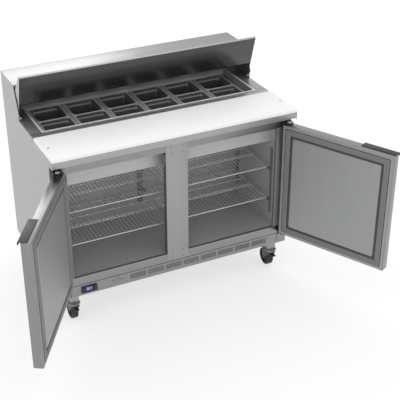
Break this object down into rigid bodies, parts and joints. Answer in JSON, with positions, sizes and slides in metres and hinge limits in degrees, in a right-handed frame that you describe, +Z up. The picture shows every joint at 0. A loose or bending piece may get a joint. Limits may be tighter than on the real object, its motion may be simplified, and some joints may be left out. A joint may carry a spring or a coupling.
{
  "type": "sandwich prep table",
  "caption": "Refrigerated sandwich prep table with two open doors, a tilting lid over recessed food pans, a cutting board and swivel casters.",
  "frame": {"origin": "on the floor under the middle of the cabinet's back edge", "axes": "+X to the right seen from the front, +Y to the back, +Z up"},
  "size_m": [1.7724, 1.2327, 1.1341],
  "materials": {
    "satin_steel": "satin, lengthwise grain",
    "dark_steel": "satin, shaded",
    "pan_steel": "bright satin",
    "liner_steel": "satin",
    "galvanised_steel": "dull zinc",
    "foam": "cellular",
    "board_plastic": "matt white",
    "door_liner_plastic": "matt grey",
    "gasket_rubber": "soft matt",
    "black_plastic": "fine texture",
    "coated_wire": "plastic coated",
    "black_steel": "semi-gloss black",
    "wheel_rubber": "matt black",
    "display": "gloss",
    "coil_metal": "finned",
    "screw_steel": "bright"
  },
  "bodies": {
    "cabinet": {"left_side_panel": "satin_steel", "right_side_panel": "satin_steel", "back_panel": "galvanised_steel", "hood_cover": "satin_steel", "hood_back_wall": "satin_steel", "hood_edge_trims": "black_plastic", "deck": "satin_steel", "cutting_board": "board_plastic", "pan_rail": "satin_steel", "divider_bars": "satin_steel", "front_pans": "pan_steel", "rear_pans": "pan_steel", "top_rail": "satin_steel", "side_jambs": "satin_steel", "sill": "satin_steel", "mullion": "satin_steel", "louver_panel": "satin_steel", "corner_gussets": "satin_steel", "interior_liner": "liner_steel", "cabinet_foam": "foam", "evaporator_cover": "liner_steel", "evaporator_coil": "coil_metal", "evaporator_motor": "black_steel", "wire_shelves": "coated_wire", "shelf_supports": "liner_steel", "compressor": "black_steel", "condenser_coil": "coil_metal", "condenser_motor": "black_steel", "power_inlet": "black_plastic", "base_plate": "galvanised_steel", "controller_bezel": "black_plastic", "controller_display": "display", "hinge_brackets": "black_steel", "lid_pivot_pins": "screw_steel", "caster_mounts": "black_steel", "panel_screws": "screw_steel"},
    "left_door": {"left_door_skin": "satin_steel", "left_door_liner": "door_liner_plastic", "left_door_gasket": "gasket_rubber", "left_door_handle": "black_plastic"},
    "right_door": {"right_door_skin": "satin_steel", "right_door_liner": "door_liner_plastic", "right_door_gasket": "gasket_rubber", "right_door_handle": "black_plastic"},
    "lid": {"lid_skin": "satin_steel", "lid_liner": "dark_steel"},
    "evaporator_fan_rotor": {"evaporator_fan": "black_plastic"},
    "condenser_fan_rotor": {"condenser_fan": "black_plastic"},
    "up_button": {"up_key": "black_plastic"},
    "down_button": {"down_key": "black_plastic"},
    "front_left_swivel": {"front_left_caster_fork": "black_steel"},
    "front_left_wheel": {"front_left_caster_wheel": "wheel_rubber"},
    "front_right_swivel": {"front_right_caster_fork": "black_steel"},
    "front_right_wheel": {"front_right_caster_wheel": "wheel_rubber"},
    "rear_left_swivel": {"rear_left_caster_fork": "black_steel"},
    "rear_left_wheel": {"rear_left_caster_wheel": "wheel_rubber"},
    "rear_right_swivel": {"rear_right_caster_fork": "black_steel"},
    "rear_right_wheel": {"rear_right_caster_wheel": "wheel_rubber"},
    "front_left_pedal": {"front_left_brake_pedal": "black_steel"},
    "front_right_pedal": {"front_right_brake_pedal": "black_steel"}
  },
  "joints": [
    {"name": "left_door_hinge", "type": "hinge", "parent": "cabinet", "child": "left_door", "pos_m": [-0.582, -0.703, 0.525], "axis": [0, 0, 1], "range_deg": [0, 121.6]},
    {"name": "right_door_hinge", "type": "hinge", "parent": "cabinet", "child": "right_door", "pos_m": [0.582, -0.703, 0.525], "axis": [0, 0, 1], "range_deg": [-117.1, 0]},
    {"name": "lid_hinge", "type": "hinge", "parent": "cabinet", "child": "lid", "pos_m": [0, -0.249, 0.91], "axis": [1, 0, 0], "range_deg": [0, 72.5]},
    {"name": "evaporator_fan_spin", "type": "hinge", "parent": "cabinet", "child": "evaporator_fan_rotor", "pos_m": [0, -0.417, 0.715], "axis": [0, 0, 1], "continuous": true},
    {"name": "condenser_fan_spin", "type": "hinge", "parent": "cabinet", "child": "condenser_fan_rotor", "pos_m": [-0.18, -0.1, 0.2875], "axis": [0, 1, 0], "continuous": true},
    {"name": "up_press", "type": "slide", "parent": "cabinet", "child": "up_button", "axis": [0, 1, 0], "range_m": [0, 0.001], "stiffness_N_per_m": 300},
    {"name": "down_press", "type": "slide", "parent": "cabinet", "child": "down_button", "axis": [0, 1, 0], "range_m": [0, 0.001], "stiffness_N_per_m": 300},
    {"name": "front_left_swivel_turn", "type": "hinge", "parent": "cabinet", "child": "front_left_swivel", "pos_m": [-0.536, -0.647, 0.1], "axis": [0, 0, 1], "continuous": true},
    {"name": "front_left_wheel_roll", "type": "hinge", "parent": "front_left_swivel", "child": "front_left_wheel", "pos_m": [-0.536, -0.612, 0.046], "axis": [1, 0, 0], "continuous": true},
    {"name": "front_left_brake_press", "type": "hinge", "parent": "front_left_swivel", "child": "front_left_pedal", "pos_m": [-0.536, -0.66, 0.083], "axis": [1, 0, 0], "range_deg": [0, 14], "stiffness_Nm_per_rad": 0.4},
    {"name": "front_right_swivel_turn", "type": "hinge", "parent": "cabinet", "child": "front_right_swivel", "pos_m": [0.536, -0.647, 0.1], "axis": [0, 0, 1], "continuous": true},
    {"name": "front_right_wheel_roll", "type": "hinge", "parent": "front_right_swivel", "child": "front_right_wheel", "pos_m": [0.536, -0.612, 0.046], "axis": [1, 0, 0], "continuous": true},
    {"name": "front_right_brake_press", "type": "hinge", "parent": "front_right_swivel", "child": "front_right_pedal", "pos_m": [0.536, -0.66, 0.083], "axis": [1, 0, 0], "range_deg": [0, 14], "stiffness_Nm_per_rad": 0.4},
    {"name": "rear_left_swivel_turn", "type": "hinge", "parent": "cabinet", "child": "rear_left_swivel", "pos_m": [-0.536, -0.1, 0.1], "axis": [0, 0, 1], "continuous": true},
    {"name": "rear_left_wheel_roll", "type": "hinge", "parent": "rear_left_swivel", "child": "rear_left_wheel", "pos_m": [-0.536, -0.065, 0.046], "axis": [1, 0, 0], "continuous": true},
    {"name": "rear_right_swivel_turn", "type": "hinge", "parent": "cabinet", "child": "rear_right_swivel", "pos_m": [0.536, -0.1, 0.1], "axis": [0, 0, 1], "continuous": true},
    {"name": "rear_right_wheel_roll", "type": "hinge", "parent": "rear_right_swivel", "child": "rear_right_wheel", "pos_m": [0.536, -0.065, 0.046], "axis": [1, 0, 0], "continuous": true}
  ]
}
